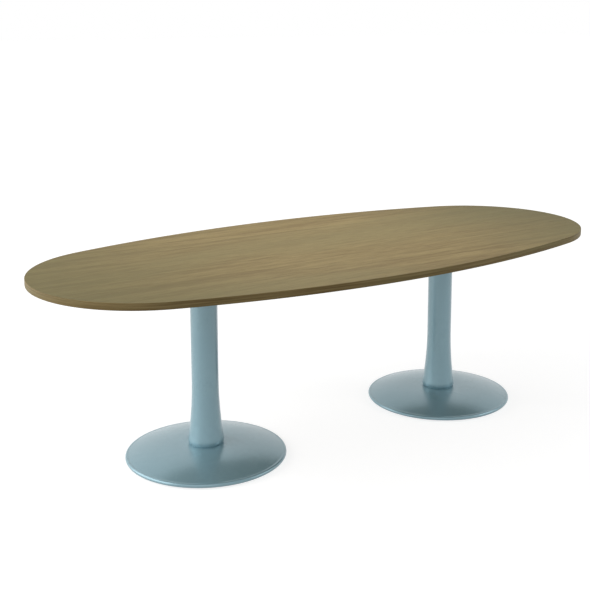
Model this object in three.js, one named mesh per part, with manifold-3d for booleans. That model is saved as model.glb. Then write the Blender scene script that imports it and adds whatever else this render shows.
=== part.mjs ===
// An oval conference table: a banded, laminated board on two trumpet pedestals with domed disc bases.
// Millimetres, +Z up, +X along the table. The origin is on the floor, under the middle of the top.
import * as THREE from "three";
import { mergeVertices } from "three/addons/utils/BufferGeometryUtils.js";
import Module from "manifold-3d";

const wasm = await Module();
wasm.setup();

// Driving sizes of the whole table
const TABLE_HEIGHT = 740;
const TOP_LENGTH = 2400;
const TOP_WIDTH = 1080;
const TOP_THICKNESS = 25;
const END_TIGHTENING = 104; // how much smaller the arc round each end is than half the width
const PEDESTAL_SPACING = 1126; // column axis to column axis

// The top: a chipboard core between two laminates, with a band glued round its edge
const LAMINATE = 0.8;
const BACKER = 0.8;
const BAND = 2;
const GLUE_LINE = 0.3;

// The column: a straight tube whose foot flares like a trumpet and curls in under itself
const COLUMN_RADIUS = 50;
const COLUMN_WALL = 2.5;
const FOOT_RADIUS = 66.3;
const FLARE_HEIGHT = 236; // the flare's upper end above the base's seat
const LIP_RADIUS = 8; // the curl at the foot

// The base cover: a pressed dome with a flat seat, a rolled rim and a hem turned under it
const BASE_RADIUS = 300;
const SEAT_HEIGHT = 54; // above the floor
const SEAT_MARGIN = 4; // flat seat beyond the column's curl
const COVER_SHEET = 2;
const RIM_RADIUS = 8; // the roll at the rim
const RIM_CLEARANCE = 5.5; // floor to the underside of the rim
const RIM_SLOPE = THREE.MathUtils.degToRad(16); // the dome's fall where it meets the roll
const HEM = 8;

// The ballast: a cast disc under the cover, with a boss that holds the seat up
const BALLAST_INSET = 30; // the ballast's edge inside the cover's
const BALLAST_THICKNESS = 12;
const BOSS_STEP = 6; // the boss's edge inside the seat's
const BOSS_DRAFT = 6;

// The tie: a threaded rod from the ballast to the spider's hub clamps the pedestal together
const ROD_RADIUS = 8;
const ROD_TAIL = 1; // rod showing below its nut
const NUT_WALL = 4; // rod to each flat
const NUT_HEIGHT = 13;
const WASHER_RIM = 8; // rod to the washer's edge
const WASHER_THICKNESS = 3;
const POCKET_ROOM = 4; // round the washer in the ballast's counterbore
const POCKET_SPARE = 1; // from the rod's end to the counterbore's mouth
const DISC_THICKNESS = 6; // the disc that centres the column's foot

// The spider: a cast plate with four ribbed arms under the board
const SPIDER_PLATE = 5;
const SPIDER_FLANGE = 22; // the round plate's edge beyond the column
const ARM_REACH = 190; // hub axis to screw
const ARM_WIDTH = 40;
const RIB_WIDTH = 7;
const RIB_DEPTH_AT_HUB = 30;
const RIB_DEPTH_AT_TIP = 4;
const RIB_END_GAP = 14; // rib's tip to screw axis
const COLLAR_WALL = 5;
const COLLAR_DEPTH = 25;
const HUB_WALL = 9; // round the rod
const HUB_DEPTH = 34;
const HUB_END = 6; // from the thread's end to the plate

// The board's fixings: machine screws into threaded inserts
const SCREW_RADIUS = 3;
const SCREW_SPARE = 4; // from the screw's end to the insert's
const HEAD_RIM = 3.2; // the head's edge beyond the thread
const HEAD_HEIGHT = 3.6;
const HEAD_CROWN = 1.2;
const SOCKET_ACROSS_FLATS = 4;
const SOCKET_DEPTH = 2;
const INSERT_WALL = 1.7;
const BOARD_OVER_INSERT = 12;

// The levelling glides: a round foot with a hexagon-headed stud in it, screwed into the ballast
const GLIDE_INSET = 30; // each glide's axis inside the ballast's edge
const FOOT_PAD_RADIUS = 18;
const FOOT_PAD_HEIGHT = 5;
const FOOT_PAD_CHAMFER = 1.2;
const PIVOT_RADIUS = 6;
const PIVOT_FLOOR = 2; // the foot's thickness under the stud's end
const STUD_RADIUS = 5;
const STUD_SPARE = 8; // the stud's thread above the ballast
const HEX_WALL = 3.5; // thread to each flat
const HEX_HEIGHT = 2.4;

// Clearances
const CLEAR = 0.3; // between pieces that fit or turn in each other
const ROD_CLEAR = 0.5; // round the tie rod

// How finely round shapes are divided
const SIDE_STEPS = 16; // along each long arc of the oval
const END_STEPS = 22; // round each end
const COLUMN_SIDES = 32;
const BASE_SIDES = 44;
const PAD_SIDES = 16;
const SMALL_SIDES = 12;
const FLARE_STEPS = 6;
const CURL_STEPS = 3;
const DOME_STEPS = 5;
const ROLL_STEPS = 5;
const ARC_STEPS = 4;
const OVERRUN = 1; // how far a cutter runs past what it cuts

// Sizes worked out from the ones above
const TOP_UNDERSIDE = TABLE_HEIGHT - TOP_THICKNESS;
const SPIDER_UNDERSIDE = TOP_UNDERSIDE - SPIDER_PLATE;
const LIP_CENTRE = FOOT_RADIUS - LIP_RADIUS;
const SEAT_RADIUS = LIP_CENTRE + SEAT_MARGIN;
const HUB_FOOT = SPIDER_UNDERSIDE - HUB_DEPTH;
const INSERT_BORE = SCREW_RADIUS + CLEAR;
const INSERT_RADIUS = INSERT_BORE + INSERT_WALL;
const INSERT_TOP = TABLE_HEIGHT - BOARD_OVER_INSERT;
const ROD_BORE = ROD_RADIUS + ROD_CLEAR;
const WASHER_RADIUS = ROD_RADIUS + WASHER_RIM;
const POCKET_RADIUS = WASHER_RADIUS + POCKET_ROOM;
const BALLAST_RADIUS = BASE_RADIUS - BALLAST_INSET;
const GLIDES_ON_RADIUS = BALLAST_RADIUS - GLIDE_INSET;
const HEX_FOOT = FOOT_PAD_HEIGHT + CLEAR;
const HEX_TOP = HEX_FOOT + HEX_HEIGHT;
const BALLAST_CLEARANCE = HEX_TOP + CLEAR; // floor to ballast
const RIM_HEIGHT = RIM_CLEARANCE + RIM_RADIUS; // centre of the roll
const RIM_CENTRE = BASE_RADIUS - RIM_RADIUS;
const DOME_END_RADIUS = RIM_CENTRE + RIM_RADIUS * Math.sin(RIM_SLOPE);
const DOME_END_HEIGHT = RIM_HEIGHT + RIM_RADIUS * Math.cos(RIM_SLOPE);
const BALLAST_TOP = BALLAST_CLEARANCE + BALLAST_THICKNESS;
const ROD_FOOT = BALLAST_CLEARANCE + POCKET_SPARE;
const NUT_FOOT = ROD_FOOT + ROD_TAIL;
const NUT_TOP = NUT_FOOT + NUT_HEIGHT;
const POCKET_CEILING = NUT_TOP + WASHER_THICKNESS;
const COLUMN_BORE = COLUMN_RADIUS - COLUMN_WALL;

const finish = (color, roughness, metalness) =>
  new THREE.MeshStandardMaterial({ color, roughness, metalness });
const LAMINATE_FINISH = finish(0x8a7d60, 0.5, 0);
const BAND_FINISH = finish(0x6b5d40, 0.5, 0);
const CHIPBOARD_FINISH = finish(0xb79f74, 0.9, 0);
const PAINT_FINISH = finish(0x8aa3ab, 0.4, 0.35);
const IRON_FINISH = finish(0x3d4043, 0.8, 0.6);
const CASTING_FINISH = finish(0x9a9da0, 0.5, 0.8);
const ZINC_FINISH = finish(0xb8bab6, 0.35, 0.9);
const BRASS_FINISH = finish(0xb59a55, 0.4, 0.9);
const NYLON_FINISH = finish(0x1d1e20, 0.6, 0);

/** Makes one named piece. */
function piece(name, geometry, material) {
  const mesh = new THREE.Mesh(geometry, material);
  mesh.name = name;
  return mesh;
}

/** Turns a closed geometry into a solid that can be joined or cut. */
function solid(geometry) {
  const bare = geometry.clone();
  bare.deleteAttribute("normal");
  bare.deleteAttribute("uv");
  const merged = mergeVertices(bare);
  return new wasm.Manifold(
    new wasm.Mesh({
      numProp: 3,
      vertProperties: merged.attributes.position.array,
      triVerts: new Uint32Array(merged.index.array),
    }),
  );
}

/** Turns a solid back into a geometry. */
function geometryOf(body) {
  const mesh = body.getMesh();
  const geometry = new THREE.BufferGeometry();
  geometry.setAttribute("position", new THREE.BufferAttribute(mesh.vertProperties, 3));
  geometry.setIndex(new THREE.BufferAttribute(mesh.triVerts, 1));
  return geometry;
}

/** Cuts every tool out of a geometry. */
function cut(geometry, tools) {
  const left = tools.reduce((body, tool) => body.subtract(solid(tool)), solid(geometry));
  return geometryOf(left);
}

/** Turns a closed [radius, height] profile, which runs anticlockwise, round the Z axis. */
function turned(profile, sides) {
  const points = [...profile, profile[0]].map(([r, z]) => new THREE.Vector2(r, z));
  return new THREE.LatheGeometry(points, sides).rotateX(Math.PI / 2);
}

/** A plain round bar on the Z axis from one height to another. */
function bar(radius, from, to, sides = SMALL_SIDES) {
  return new THREE.CylinderGeometry(radius, radius, to - from, sides)
    .rotateX(Math.PI / 2)
    .translate(0, 0, (from + to) / 2);
}

/** A hexagonal bar on the Z axis, by its size across the flats. */
function hexagon(acrossFlats, from, to) {
  return bar(acrossFlats / 2 / Math.cos(Math.PI / 6), from, to, 6);
}

/** Lifts a flat shape into a plate between two heights. */
function plate(shape, from, to) {
  return new THREE.ExtrudeGeometry(shape, {
    depth: to - from,
    bevelEnabled: false,
    curveSegments: ARC_STEPS,
  }).translate(0, 0, from);
}

/** Points of an arc as [x, y], both ends included. */
function arc(centreX, centreY, radius, from, to, steps) {
  return Array.from({ length: steps + 1 }, (_, i) => {
    const angle = from + ((to - from) * i) / steps;
    return [centreX + radius * Math.cos(angle), centreY + radius * Math.sin(angle)];
  });
}

/**
 * The oval's outline, drawn in by a distance all round, as a closed ring of points.
 * Each long side is one wide arc, and it runs tangent into a tighter arc at each end.
 */
function ovalPoints(inset) {
  const halfWidth = TOP_WIDTH / 2;
  const endRadius = halfWidth - END_TIGHTENING;
  const endCentre = TOP_LENGTH / 2 - endRadius;
  const sideRadius =
    (endCentre ** 2 + halfWidth ** 2 - endRadius ** 2) / (2 * (halfWidth - endRadius));
  const sideCentre = halfWidth - sideRadius;
  const upright = Math.PI / 2;
  const spread = Math.atan2(endCentre, -sideCentre);
  const join = upright - spread; // where the arcs meet, as an angle from +X
  const end = arc(endCentre, 0, endRadius - inset, -join, join, END_STEPS);
  const side = arc(0, sideCentre, sideRadius - inset, join, upright + spread, SIDE_STEPS);
  const half = [...end.slice(0, -1), ...side.slice(0, -1)];
  return [...half, ...half.map(([x, y]) => [-x, -y])].map(([x, y]) => new THREE.Vector2(x, y));
}

const holeCentres = [0, 1, 2, 3].map((i) => Math.PI / 4 + (i * Math.PI) / 2);

/** Places a geometry at a radius and an angle about the Z axis. */
function placed(geometry, radius, angle) {
  return geometry.clone().translate(radius * Math.cos(angle), radius * Math.sin(angle), 0);
}

/** The four copies of a tool round one column axis, for both columns. */
function underBothColumns(tool, radius) {
  return [-1, 1].flatMap((end) =>
    holeCentres.map((angle) =>
      placed(tool, radius, angle).translate((end * PEDESTAL_SPACING) / 2, 0, 0),
    ),
  );
}

/** The banded board: core, top laminate, backing laminate and edge band. */
function makeTop() {
  const top = new THREE.Group();
  const boardShape = new THREE.Shape(ovalPoints(BAND + GLUE_LINE));
  const coreBottom = TOP_UNDERSIDE + BACKER;
  const coreTop = TABLE_HEIGHT - LAMINATE;
  const insertHoles = underBothColumns(
    bar(INSERT_RADIUS + CLEAR, TOP_UNDERSIDE - OVERRUN, INSERT_TOP + CLEAR),
    ARM_REACH,
  );
  top.add(
    piece("board_core", cut(plate(boardShape, coreBottom, coreTop), insertHoles), CHIPBOARD_FINISH),
    piece("top_laminate", plate(boardShape, coreTop, TABLE_HEIGHT), LAMINATE_FINISH),
    piece(
      "backing_laminate",
      cut(plate(boardShape, TOP_UNDERSIDE, coreBottom), insertHoles),
      LAMINATE_FINISH,
    ),
  );
  const bandShape = new THREE.Shape(ovalPoints(0));
  bandShape.holes.push(new THREE.Path(ovalPoints(BAND)));
  top.add(piece("edge_band", plate(bandShape, TOP_UNDERSIDE, TABLE_HEIGHT), BAND_FINISH));
  return top;
}

/** The column's outer radius at a height above the curl of its foot. */
function columnRadius(height) {
  const flareTop = SEAT_HEIGHT + FLARE_HEIGHT;
  const curlHeight = SEAT_HEIGHT + LIP_RADIUS;
  const share = Math.max(0, (flareTop - height) / (flareTop - curlHeight));
  return COLUMN_RADIUS + (FOOT_RADIUS - COLUMN_RADIUS) * share ** 2;
}

/** The trumpet column: its wall follows the flare and ends in the curl that stands on the seat. */
function columnTube() {
  const flareTop = SEAT_HEIGHT + FLARE_HEIGHT;
  const curlHeight = SEAT_HEIGHT + LIP_RADIUS;
  const heights = Array.from(
    { length: FLARE_STEPS + 1 },
    (_, i) => curlHeight + ((flareTop - curlHeight) * i) / FLARE_STEPS,
  );
  const outside = [
    ...arc(LIP_CENTRE, curlHeight, LIP_RADIUS, -Math.PI / 2, 0, CURL_STEPS).slice(0, -1),
    ...heights.map((z) => [columnRadius(z), z]),
    [COLUMN_RADIUS, SPIDER_UNDERSIDE],
  ];
  const inside = [
    [COLUMN_BORE, SPIDER_UNDERSIDE],
    ...heights.reverse().map((z) => [columnRadius(z) - COLUMN_WALL, z]),
    ...arc(LIP_CENTRE, curlHeight, LIP_RADIUS - COLUMN_WALL, 0, -Math.PI / 2, CURL_STEPS).slice(1),
  ];
  return turned([...outside, ...inside], COLUMN_SIDES);
}

/** The pressed cover: seat, dome, rolled rim and hem, all in one sheet. */
function baseCover() {
  const fall = SEAT_HEIGHT - DOME_END_HEIGHT;
  const run = DOME_END_RADIUS - SEAT_RADIUS;
  const crown = (Math.tan(RIM_SLOPE) * run) / fall; // makes the dome run tangent into the roll
  const domeShares = Array.from({ length: DOME_STEPS }, (_, i) => i / DOME_STEPS);
  const dome = domeShares.map((s) => [SEAT_RADIUS + run * s, SEAT_HEIGHT - fall * s ** crown]);
  const roll = (radius) =>
    arc(RIM_CENTRE, RIM_HEIGHT, radius, Math.PI / 2 - RIM_SLOPE, -Math.PI / 2, ROLL_STEPS);
  const hemEdge = RIM_CENTRE - HEM;
  const outside = [
    [ROD_BORE, SEAT_HEIGHT],
    ...dome,
    ...roll(RIM_RADIUS),
    [hemEdge, RIM_CLEARANCE],
  ];
  const inside = [
    [hemEdge, RIM_CLEARANCE + COVER_SHEET],
    ...roll(RIM_RADIUS - COVER_SHEET).reverse(),
    ...dome.map(([r, z]) => [r, z - COVER_SHEET]).reverse(),
    [ROD_BORE, SEAT_HEIGHT - COVER_SHEET],
  ];
  return turned([...outside, ...inside].reverse(), BASE_SIDES);
}

/** The cast ballast, with its boss, its pocket for nut and washer, and four tapped holes. */
function ballast() {
  const bossTop = SEAT_HEIGHT - COVER_SHEET;
  const bossRadius = SEAT_RADIUS - BOSS_STEP;
  const profile = [
    [POCKET_RADIUS, BALLAST_CLEARANCE],
    [BALLAST_RADIUS, BALLAST_CLEARANCE],
    [BALLAST_RADIUS, BALLAST_TOP],
    [bossRadius + BOSS_DRAFT, BALLAST_TOP],
    [bossRadius, bossTop],
    [ROD_BORE, bossTop],
    [ROD_BORE, POCKET_CEILING],
    [POCKET_RADIUS, POCKET_CEILING],
  ];
  const tapped = bar(STUD_RADIUS + CLEAR, BALLAST_CLEARANCE - OVERRUN, BALLAST_TOP + OVERRUN);
  return cut(
    turned(profile, BASE_SIDES),
    holeCentres.map((angle) => placed(tapped, GLIDES_ON_RADIUS, angle)),
  );
}

/** The disc inside the column's foot, which keeps it on the rod's axis. */
function centringDisc() {
  const edge = LIP_CENTRE - CLEAR;
  const top = SEAT_HEIGHT + DISC_THICKNESS;
  const profile = [
    [ROD_BORE, SEAT_HEIGHT],
    [edge, SEAT_HEIGHT],
    [edge, top],
    [ROD_BORE, top],
  ];
  return turned(profile, COLUMN_SIDES);
}

/** One arm's rib, as a tapered web that hangs under the plate along +X. */
function armRib() {
  const start = COLUMN_RADIUS + CLEAR;
  const tip = ARM_REACH - RIB_END_GAP;
  const shape = new THREE.Shape([
    new THREE.Vector2(start, SPIDER_UNDERSIDE + OVERRUN),
    new THREE.Vector2(start, SPIDER_UNDERSIDE - RIB_DEPTH_AT_HUB),
    new THREE.Vector2(tip, SPIDER_UNDERSIDE - RIB_DEPTH_AT_TIP),
    new THREE.Vector2(tip, SPIDER_UNDERSIDE + OVERRUN),
  ]);
  return new THREE.ExtrudeGeometry(shape, { depth: RIB_WIDTH, bevelEnabled: false })
    .rotateX(Math.PI / 2)
    .translate(0, RIB_WIDTH / 2, 0);
}

/** The spider: four round-ended arms, their ribs, the column's collar and the threaded hub. */
function spider() {
  const half = ARM_WIDTH / 2;
  const armShape = new THREE.Shape()
    .moveTo(0, -half)
    .lineTo(ARM_REACH, -half)
    .absarc(ARM_REACH, 0, half, -Math.PI / 2, Math.PI / 2)
    .lineTo(0, half)
    .closePath();
  const arm = plate(armShape, SPIDER_UNDERSIDE, TOP_UNDERSIDE);
  const rib = armRib();
  const collarOutside = COLUMN_BORE - CLEAR;
  const collar = turned(
    [
      [collarOutside - COLLAR_WALL, SPIDER_UNDERSIDE - COLLAR_DEPTH],
      [collarOutside, SPIDER_UNDERSIDE - COLLAR_DEPTH],
      [collarOutside, SPIDER_UNDERSIDE + OVERRUN],
      [collarOutside - COLLAR_WALL, SPIDER_UNDERSIDE + OVERRUN],
    ],
    COLUMN_SIDES,
  );
  const hub = bar(ROD_RADIUS + HUB_WALL, HUB_FOOT, SPIDER_UNDERSIDE + OVERRUN);
  const flange = COLUMN_RADIUS + SPIDER_FLANGE;
  const centre = bar(flange, SPIDER_UNDERSIDE, TOP_UNDERSIDE, COLUMN_SIDES);
  let body = solid(centre).add(solid(collar)).add(solid(hub));
  for (const angle of holeCentres) {
    body = body.add(solid(arm.clone().rotateZ(angle))).add(solid(rib.clone().rotateZ(angle)));
  }
  const thread = bar(ROD_RADIUS + CLEAR, HUB_FOOT - OVERRUN, SPIDER_UNDERSIDE - HUB_END);
  const hole = bar(SCREW_RADIUS + CLEAR, SPIDER_UNDERSIDE - OVERRUN, TOP_UNDERSIDE + OVERRUN);
  return cut(geometryOf(body), [
    thread,
    ...holeCentres.map((angle) => placed(hole, ARM_REACH, angle)),
  ]);
}

/** The tie rod, from below its nut up into the spider's hub. */
function tieRod() {
  return bar(ROD_RADIUS, ROD_FOOT, SPIDER_UNDERSIDE - HUB_END - CLEAR);
}

/** The nut under the ballast. */
function tieNut() {
  const bore = bar(ROD_RADIUS + CLEAR, NUT_FOOT - OVERRUN, NUT_TOP + OVERRUN);
  return cut(hexagon(2 * (ROD_RADIUS + NUT_WALL), NUT_FOOT, NUT_TOP), [bore]);
}

/** The washer between the nut and the ballast. */
function tieWasher() {
  const bore = bar(ROD_RADIUS + CLEAR, NUT_TOP - OVERRUN, POCKET_CEILING + OVERRUN);
  return cut(bar(WASHER_RADIUS, NUT_TOP, POCKET_CEILING), [bore]);
}

/** A socket-headed machine screw, head down, in its hole in the spider's arm. */
function boardScrew() {
  const headFoot = SPIDER_UNDERSIDE - HEAD_HEIGHT;
  const headRadius = SCREW_RADIUS + HEAD_RIM;
  const end = INSERT_TOP - SCREW_SPARE;
  const profile = [
    [0, headFoot],
    [headRadius - HEAD_CROWN, headFoot],
    [headRadius, headFoot + HEAD_CROWN],
    [headRadius, SPIDER_UNDERSIDE],
    [SCREW_RADIUS, SPIDER_UNDERSIDE],
    [SCREW_RADIUS, end],
    [0, end],
  ];
  const socket = hexagon(SOCKET_ACROSS_FLATS, headFoot - OVERRUN, headFoot + SOCKET_DEPTH);
  return cut(turned(profile, SMALL_SIDES), [socket]);
}

/** The threaded insert that the screw goes into, flush with the board's underside. */
function boardInsert() {
  const profile = [
    [INSERT_BORE, TOP_UNDERSIDE],
    [INSERT_RADIUS, TOP_UNDERSIDE],
    [INSERT_RADIUS, INSERT_TOP],
    [INSERT_BORE, INSERT_TOP],
  ];
  return turned(profile, SMALL_SIDES);
}

/** The glide's foot, a low round pad with a socket for the end of the stud. */
function glideFoot() {
  const socket = PIVOT_RADIUS + CLEAR;
  const profile = [
    [0, 0],
    [FOOT_PAD_RADIUS - FOOT_PAD_CHAMFER, 0],
    [FOOT_PAD_RADIUS, FOOT_PAD_CHAMFER],
    [FOOT_PAD_RADIUS, FOOT_PAD_HEIGHT - FOOT_PAD_CHAMFER],
    [FOOT_PAD_RADIUS - FOOT_PAD_CHAMFER, FOOT_PAD_HEIGHT],
    [socket, FOOT_PAD_HEIGHT],
    [socket, PIVOT_FLOOR],
    [0, PIVOT_FLOOR],
  ];
  return turned(profile, PAD_SIDES);
}

/** The glide's stud: its pivot in the foot, its hexagon under the ballast and its thread. */
function glideStud() {
  const pivot = bar(PIVOT_RADIUS, PIVOT_FLOOR + CLEAR, HEX_FOOT + OVERRUN);
  const hex = hexagon(2 * (STUD_RADIUS + HEX_WALL), HEX_FOOT, HEX_TOP);
  const thread = bar(STUD_RADIUS, HEX_TOP - OVERRUN, BALLAST_TOP + STUD_SPARE);
  return geometryOf(solid(pivot).add(solid(hex)).add(solid(thread)));
}

/** One pedestal with every piece named for its end of the table. */
function makePedestal(side) {
  const pedestal = new THREE.Group();
  pedestal.add(
    piece(`${side}_base_cover`, baseCover(), PAINT_FINISH),
    piece(`${side}_ballast_plate`, ballast(), IRON_FINISH),
    piece(`${side}_column_tube`, columnTube(), PAINT_FINISH),
    piece(`${side}_centring_disc`, centringDisc(), ZINC_FINISH),
    piece(`${side}_spider`, spider(), CASTING_FINISH),
    piece(`${side}_tie_rod`, tieRod(), ZINC_FINISH),
    piece(`${side}_tie_nut`, tieNut(), ZINC_FINISH),
    piece(`${side}_tie_washer`, tieWasher(), ZINC_FINISH),
  );
  holeCentres.forEach((angle, i) => {
    const number = i + 1;
    pedestal.add(
      piece(`${side}_board_screw_${number}`, placed(boardScrew(), ARM_REACH, angle), ZINC_FINISH),
      piece(`${side}_board_insert_${number}`, placed(boardInsert(), ARM_REACH, angle), BRASS_FINISH),
      piece(
        `${side}_glide_foot_${number}`,
        placed(glideFoot(), GLIDES_ON_RADIUS, angle),
        NYLON_FINISH,
      ),
      piece(
        `${side}_glide_stud_${number}`,
        placed(glideStud(), GLIDES_ON_RADIUS, angle),
        ZINC_FINISH,
      ),
    );
  });
  return pedestal;
}

const table = new THREE.Group();
table.add(makeTop());
for (const [side, end] of [
  ["left", -1],
  ["right", 1],
]) {
  const pedestal = makePedestal(side);
  pedestal.position.x = (end * PEDESTAL_SPACING) / 2;
  table.add(pedestal);
}

export default table;
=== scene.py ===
"""Conference table: a long oval wood-effect top on two blue-grey trumpet columns with domed disc bases.

Lengths are in metres. The origin is on the floor under the middle of the top, with +X along the top and +Z
upwards.
"""

import logging
import math
from dataclasses import dataclass, field
from enum import Enum
from typing import Any, ClassVar, Iterator, Sequence

import bmesh
import bpy
import numpy as np
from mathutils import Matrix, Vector


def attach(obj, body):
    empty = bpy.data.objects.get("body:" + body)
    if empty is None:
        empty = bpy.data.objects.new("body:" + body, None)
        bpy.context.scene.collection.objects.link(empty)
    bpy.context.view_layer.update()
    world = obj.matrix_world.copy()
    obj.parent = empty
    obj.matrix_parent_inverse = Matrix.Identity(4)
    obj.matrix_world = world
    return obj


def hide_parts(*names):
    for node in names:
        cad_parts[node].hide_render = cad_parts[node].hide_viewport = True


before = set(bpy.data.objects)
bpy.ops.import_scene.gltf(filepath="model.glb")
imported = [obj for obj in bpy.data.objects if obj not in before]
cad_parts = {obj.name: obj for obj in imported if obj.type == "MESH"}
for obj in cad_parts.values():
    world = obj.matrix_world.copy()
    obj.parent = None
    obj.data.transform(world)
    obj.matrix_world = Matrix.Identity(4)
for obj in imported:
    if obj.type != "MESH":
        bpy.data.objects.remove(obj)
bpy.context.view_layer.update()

log = logging.getLogger("conference_table")

FULL_TURN = 2 * math.pi
WELD = 1e-7  # points nearer than this are one
CREASE = math.radians(32)  # an edge that turns by more stays sharp
THREAD_DEPTH = 0.6  # of a thread from crest to root, as a share of its pitch
THREAD_RINGS = 6  # rings of points in a pitch
HEXAGON_CONE = 0.97  # circle at a hexagon's chamfered end, as a share of the width across its flats
HOLE_SIDES = 24  # sides of a drilled hole
OVERCUT = 0.002  # how far a hole's plug stands out of what it cuts
AXIS_SHIFTS = (1.0, 1.7, 0.6)  # how far each axis of a pattern moves with its shift

Colour = tuple[float, float, float, float]


class Slot(Enum):
    """The record's material slots."""

    LAMINATE = "wood_laminate"
    BAND = "wood_band"
    CHIPBOARD = "chipboard"
    PAINT = "blue_grey_paint"
    IRON = "cast_ballast"
    ALLOY = "alloy_casting"
    ZINC = "zinc_plate"
    BRASS = "brass"
    NYLON = "nylon"


class Side(Enum):
    """The two ends of the table, with the sign of their X."""

    LEFT = -1
    RIGHT = 1

    @property
    def word(self) -> str:
        """The side's name as the pieces carry it."""
        return self.name.lower()

    @property
    def axis(self) -> float:
        """X of the axis of the side's pedestal."""
        return self.value * Pedestal.axis


def arc(centre: tuple[float, float], radius: float, start: float, end: float, steps: int) -> np.ndarray:
    """Points on an arc: centre plus radius times (cosine, sine) of evenly spaced angles.

    Args:
        centre: the arc's centre.
        radius: its radius.
        start: angle of the first point, in degrees.
        end: angle of the last point, in degrees.
        steps: how many steps lie between them.

    Returns:
        Rows of two coordinates.
    """
    angle = np.radians(np.linspace(start, end, steps + 1))
    return np.column_stack([centre[0] + radius * np.cos(angle), centre[1] + radius * np.sin(angle)])


def rounded(corners: Sequence[tuple[float, float, float]] | np.ndarray, steps: int = 4) -> np.ndarray:
    """Rounds the corners of a closed profile.

    A corner P, with unit directions a and b to its neighbours and the angle w between them, gives way to
    an arc from P + a r / tan(w / 2) to P + b r / tan(w / 2), about P + r / sin(w / 2) along the bisector.

    Args:
        corners: rows of radius from the axis, height and rounding radius.
        steps: steps of each arc.

    Returns:
        Rows of radius and height.
    """
    table = np.array(corners, float)
    point, radius = table[:, :2], table[:, 2:]
    before = np.roll(point, 1, axis=0) - point
    after = np.roll(point, -1, axis=0) - point
    before /= np.maximum(np.linalg.norm(before, axis=1, keepdims=True), WELD)
    after /= np.maximum(np.linalg.norm(after, axis=1, keepdims=True), WELD)
    half = np.arccos(np.clip((before * after).sum(1, keepdims=True), -1, 1)) / 2
    bisector = before + after
    bisector /= np.maximum(np.linalg.norm(bisector, axis=1, keepdims=True), WELD)
    centre = point + bisector * radius / np.sin(half)
    first = point + before * radius / np.tan(half) - centre
    last = point + after * radius / np.tan(half) - centre
    sweep = np.maximum(math.pi - 2 * half, WELD)[:, None, :]
    share = np.linspace(0, 1, steps + 1)[None, :, None]
    spokes = np.sin((1 - share) * sweep) * first[:, None] + np.sin(share * sweep) * last[:, None]
    return (centre[:, None] + spokes / np.sin(sweep)).reshape(-1, 2)


@dataclass
class Shell:
    """A closed skin over a grid of points, whose last column meets the first.

    The last row meets the first too, unless loops is off. Points that fall together become one, and faces
    without area are left out, so that poles are closed.
    """

    grid: np.ndarray
    uv: np.ndarray | None = None
    loops: bool = True

    def faces(self) -> tuple[np.ndarray, np.ndarray | None]:
        """The faces, each of which spans a step along the rows and one along the columns.

        The volume is the sum of each face's middle times its area vector; where it is negative, the faces
        are turned round.

        Returns:
            Four point numbers for each face, and the UV of those four corners.
        """
        rows, columns = self.grid.shape[:2]
        spans = rows if self.loops else rows - 1
        row, column = np.meshgrid(np.arange(spans), np.arange(columns), indexing="ij")
        below, beside = (row + 1) % rows, (column + 1) % columns
        corners = [(row, column), (row, beside), (below, beside), (below, column)]
        faces = np.stack([a * columns + b for a, b in corners], axis=-1).reshape(-1, 4)
        corner = self.grid.reshape(-1, 3)[faces]
        area = np.cross(corner[:, 2] - corner[:, 0], corner[:, 3] - corner[:, 1])
        way = 1 if (corner.mean(axis=1) * area).sum() > 0 else -1
        if self.uv is None:
            return faces[:, ::way], None
        uv = self.uv
        stack = np.stack([uv[:-1, :-1], uv[:-1, 1:], uv[1:, 1:], uv[1:, :-1]], axis=2)
        return faces[:, ::way], stack.reshape(-1, 4, 2)[:, ::way]


def placed(name: str, data: bpy.types.ID) -> bpy.types.Object:
    """Puts something new into the scene, at the origin.

    Args:
        name: the object's name.
        data: its mesh, lamp or camera.

    Returns:
        The object.
    """
    made = bpy.data.objects.new(name, data)
    bpy.context.scene.collection.objects.link(made)
    return made


def smoothed(mesh: bpy.types.Mesh) -> bpy.types.Mesh:
    """Gives a mesh smooth faces, and sharp edges past the crease angle.

    Args:
        mesh: the mesh.

    Returns:
        The same mesh.
    """
    mesh.shade_smooth()
    mesh.set_sharp_from_angle(angle=CREASE)
    return mesh


def mesh_piece(name: str, shell: Shell) -> bpy.types.Object:
    """Puts a skin into a new object.

    A face two of whose corners are one point becomes a triangle, and one that has no area is left out.

    Args:
        name: the piece's name.
        shell: its skin.

    Returns:
        The new object, at the origin.
    """
    points = shell.grid.reshape(-1, 3)
    _, kept, number = np.unique(np.round(points / WELD), axis=0, return_index=True, return_inverse=True)
    quads, uv = shell.faces()
    faces = number.reshape(-1)[quads]
    same = faces == np.roll(faces, -1, axis=1)
    crossed = (faces[:, 0] == faces[:, 2]) | (faces[:, 1] == faces[:, 3])
    whole = ~same.any(axis=1) & ~crossed
    three = (same.sum(axis=1) == 1) & ~crossed
    triangles = faces[three][~same[three]].reshape(-1, 3)
    mesh = bpy.data.meshes.new(name)
    mesh.from_pydata(points[kept].tolist(), [], faces[whole].tolist() + triangles.tolist())
    if uv is not None:
        corners = np.concatenate([uv[whole].reshape(-1, 2), uv[three][~same[three]].reshape(-1, 2)])
        mesh.uv_layers.new(name="UVMap").data.foreach_set("uv", corners.astype(np.float32).ravel())
    return placed(name, smoothed(mesh))


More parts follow.
